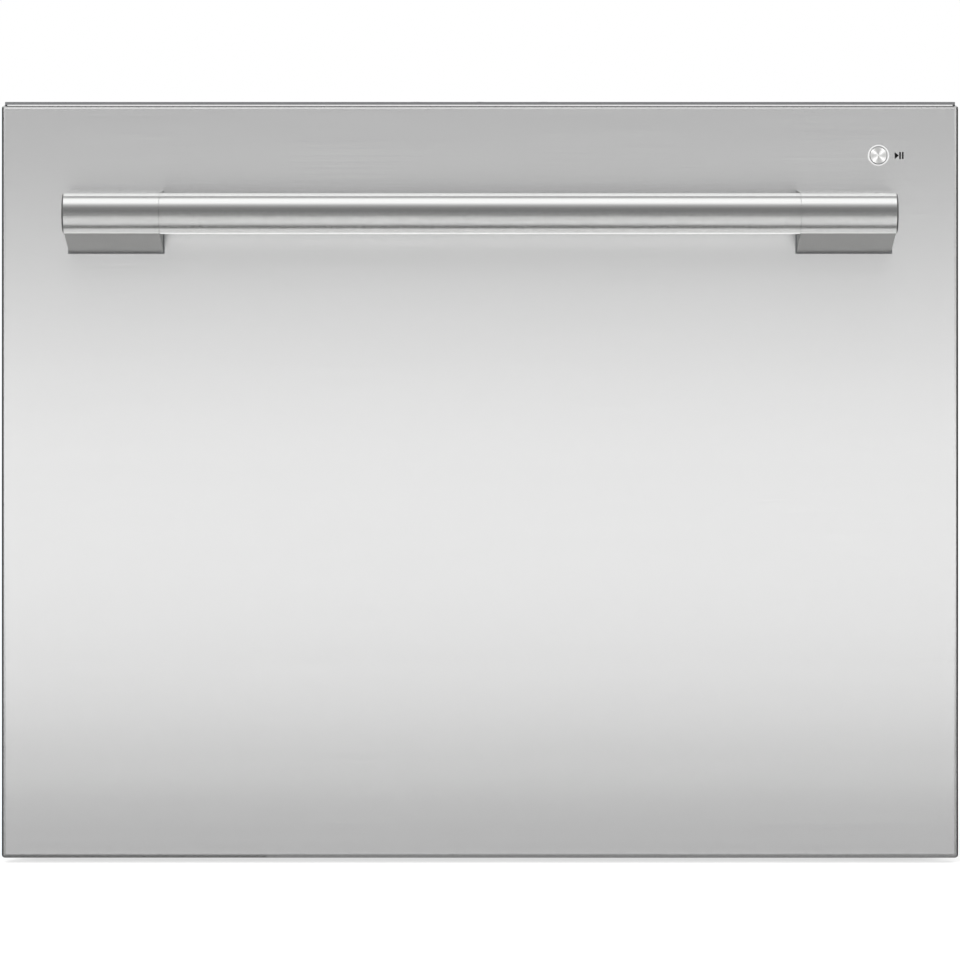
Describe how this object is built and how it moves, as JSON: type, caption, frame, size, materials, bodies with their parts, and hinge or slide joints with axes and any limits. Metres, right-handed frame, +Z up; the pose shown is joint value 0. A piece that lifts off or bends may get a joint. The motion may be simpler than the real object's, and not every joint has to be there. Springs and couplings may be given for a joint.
{
  "type": "dishwasher drawer",
  "caption": "Built-in dishwasher drawer: a tub with basket, spray arm and pump rolls on runners out of a steel chassis behind a brushed stainless front with a bar handle.",
  "frame": {"origin": "on the floor under the middle of the whole part, handle included", "axes": "+Z up, the front faces -Y, +X to the right of someone who faces the front"},
  "size_m": [0.599, 0.6276, 0.4769],
  "materials": {
    "brushed_stainless": "fine horizontal brushing",
    "satin_stainless": "satin",
    "bright_ring": "polished",
    "spun_metal": "spun face",
    "black_ink": "printed",
    "strip_plastic": "fine grain",
    "strip_button_plastic": "smooth",
    "galvanised_steel": "galvanised",
    "runner_steel": "zinc plated",
    "screw_steel": "zinc plated",
    "link_steel": "satin",
    "frame_plastic": "fine grain",
    "black_rubber": "matt",
    "grey_rubber": "matt",
    "hose_plastic": "matt",
    "tub_plastic": "moulded",
    "backing_plastic": "moulded",
    "white_plastic": "moulded",
    "grey_plastic": "moulded",
    "dispenser_lid_plastic": "moulded",
    "blue_plastic": "moulded",
    "plain_stainless": "plain",
    "rack_coating": "nylon coated",
    "tine_coating": "nylon coated",
    "board_green": "solder mask",
    "foot_plastic": "moulded"
  },
  "bodies": {
    "chassis": {"chassis_side_left": "galvanised_steel", "chassis_side_right": "galvanised_steel", "chassis_top": "galvanised_steel", "base_pan": "galvanised_steel", "back_panel": "galvanised_steel", "front_frame": "frame_plastic", "front_gasket": "black_rubber", "runner_outer_left": "runner_steel", "runner_outer_right": "runner_steel", "lid_actuators": "frame_plastic", "service_box": "frame_plastic", "inlet_valve": "white_plastic", "drain_outlet": "grey_plastic", "cable_gland": "frame_plastic", "controller_box": "frame_plastic", "flood_sensor": "white_plastic", "chassis_screws": "screw_steel", "hoses": "hose_plastic"},
    "drawer": {"front_panel": "brushed_stainless", "front_backing": "backing_plastic", "top_strip": "strip_plastic", "handle_bar": "satin_stainless", "handle_end_left": "satin_stainless", "handle_end_right": "satin_stainless", "handle_screws": "screw_steel", "button_ring": "bright_ring", "switch_boards": "board_green", "start_symbol": "black_ink", "tub": "tub_plastic", "runner_inner_left": "runner_steel", "runner_inner_right": "runner_steel", "filter_plate": "plain_stainless", "drain_filter": "grey_plastic", "wash_motor": "grey_plastic", "heater_plate": "plain_stainless", "detergent_dispenser": "grey_plastic", "basket": "rack_coating", "fixed_tines": "rack_coating", "cutlery_basket": "tine_coating"},
    "lid": {"lid_panel": "tub_plastic", "lid_seal": "grey_rubber", "lid_links": "link_steel"},
    "start_button": {"start_button": "spun_metal"},
    "strip_button_left": {"strip_button_left": "strip_button_plastic"},
    "strip_button_middle": {"strip_button_middle": "strip_button_plastic"},
    "strip_button_right": {"strip_button_right": "strip_button_plastic"},
    "spray_arm": {"spray_arm": "grey_plastic"},
    "pump_rotor": {"pump_rotor": "white_plastic"},
    "detergent_door": {"detergent_door": "dispenser_lid_plastic"},
    "rinse_aid_cap": {"rinse_aid_cap": "blue_plastic"},
    "folding_tines_front": {"folding_tines_front": "tine_coating"},
    "folding_tines_rear": {"folding_tines_rear": "tine_coating"},
    "cup_rack_left": {"cup_rack_left": "tine_coating"},
    "cup_rack_right": {"cup_rack_right": "tine_coating"},
    "runner_middle_left": {"runner_middle_left": "runner_steel"},
    "runner_middle_right": {"runner_middle_right": "runner_steel"},
    "foot_front_left": {"foot_front_left": "foot_plastic"},
    "foot_front_right": {"foot_front_right": "foot_plastic"},
    "foot_rear_left": {"foot_rear_left": "foot_plastic"},
    "foot_rear_right": {"foot_rear_right": "foot_plastic"}
  },
  "joints": [
    {"name": "drawer_slide", "type": "slide", "parent": "chassis", "child": "drawer", "axis": [0, -1, 0], "range_m": [0, 0.51], "deforming": ["hoses"]},
    {"name": "runner_left_slide", "type": "slide", "parent": "chassis", "child": "runner_middle_left", "axis": [0, -1, 0], "range_m": [0, 0.255]},
    {"name": "runner_right_slide", "type": "slide", "parent": "chassis", "child": "runner_middle_right", "axis": [0, -1, 0], "range_m": [0, 0.255]},
    {"name": "lid_lift", "type": "slide", "parent": "chassis", "child": "lid", "axis": [0, 0, -1], "range_m": [0, 0.006]},
    {"name": "start_button_press", "type": "slide", "parent": "drawer", "child": "start_button", "axis": [0, 1, 0], "range_m": [0, 0.001], "stiffness_N_per_m": 1200, "springref_m": -0.001},
    {"name": "strip_button_left_press", "type": "slide", "parent": "drawer", "child": "strip_button_left", "axis": [0, 0, -1], "range_m": [0, 0.0008], "stiffness_N_per_m": 1200, "springref_m": -0.001},
    {"name": "strip_button_middle_press", "type": "slide", "parent": "drawer", "child": "strip_button_middle", "axis": [0, 0, -1], "range_m": [0, 0.0008], "stiffness_N_per_m": 1200, "springref_m": -0.001},
    {"name": "strip_button_right_press", "type": "slide", "parent": "drawer", "child": "strip_button_right", "axis": [0, 0, -1], "range_m": [0, 0.0008], "stiffness_N_per_m": 1200, "springref_m": -0.001},
    {"name": "spray_arm_spin", "type": "hinge", "parent": "drawer", "child": "spray_arm", "pos_m": [0, 0.01185, 0.097], "axis": [0, 0, 1], "continuous": true},
    {"name": "pump_rotor_spin", "type": "hinge", "parent": "drawer", "child": "pump_rotor", "pos_m": [0, 0.01185, 0.074], "axis": [0, 0, 1], "continuous": true},
    {"name": "detergent_door_hinge", "type": "hinge", "parent": "drawer", "child": "detergent_door", "pos_m": [0.083, -0.20045, 0.3094], "axis": [-1, 0, 0], "range_deg": [0, 100]},
    {"name": "rinse_aid_cap_turn", "type": "hinge", "parent": "drawer", "child": "rinse_aid_cap", "pos_m": [0.148, -0.20315, 0.346], "axis": [0, 1, 0], "range_deg": [0, 90]},
    {"name": "front_tines_fold", "type": "hinge", "parent": "drawer", "child": "folding_tines_front", "pos_m": [0.1, -0.04815, 0.1223], "axis": [-1, 0, 0], "range_deg": [0, 90]},
    {"name": "rear_tines_fold", "type": "hinge", "parent": "drawer", "child": "folding_tines_rear", "pos_m": [0.1, 0.05185, 0.1223], "axis": [-1, 0, 0], "range_deg": [0, 90]},
    {"name": "cup_rack_left_fold", "type": "hinge", "parent": "drawer", "child": "cup_rack_left", "pos_m": [-0.249, 0.01185, 0.2445], "axis": [0, -1, 0], "range_deg": [0, 90]},
    {"name": "cup_rack_right_fold", "type": "hinge", "parent": "drawer", "child": "cup_rack_right", "pos_m": [0.249, 0.01185, 0.2445], "axis": [0, 1, 0], "range_deg": [0, 90]},
    {"name": "foot_front_left_turn", "type": "hinge", "parent": "chassis", "child": "foot_front_left", "pos_m": [-0.255, -0.19015, 0.02], "axis": [0, 0, 1], "continuous": true},
    {"name": "foot_front_right_turn", "type": "hinge", "parent": "chassis", "child": "foot_front_right", "pos_m": [0.255, -0.19015, 0.02], "axis": [0, 0, 1], "continuous": true},
    {"name": "foot_rear_left_turn", "type": "hinge", "parent": "chassis", "child": "foot_rear_left", "pos_m": [-0.255, 0.23885, 0.02], "axis": [0, 0, 1], "continuous": true},
    {"name": "foot_rear_right_turn", "type": "hinge", "parent": "chassis", "child": "foot_rear_right", "pos_m": [0.255, 0.23885, 0.02], "axis": [0, 0, 1], "continuous": true}
  ],
  "couplings": [
    {"joint": "runner_left_slide", "follows": "drawer_slide", "ratio": 0.5},
    {"joint": "runner_right_slide", "follows": "drawer_slide", "ratio": 0.5}
  ]
}
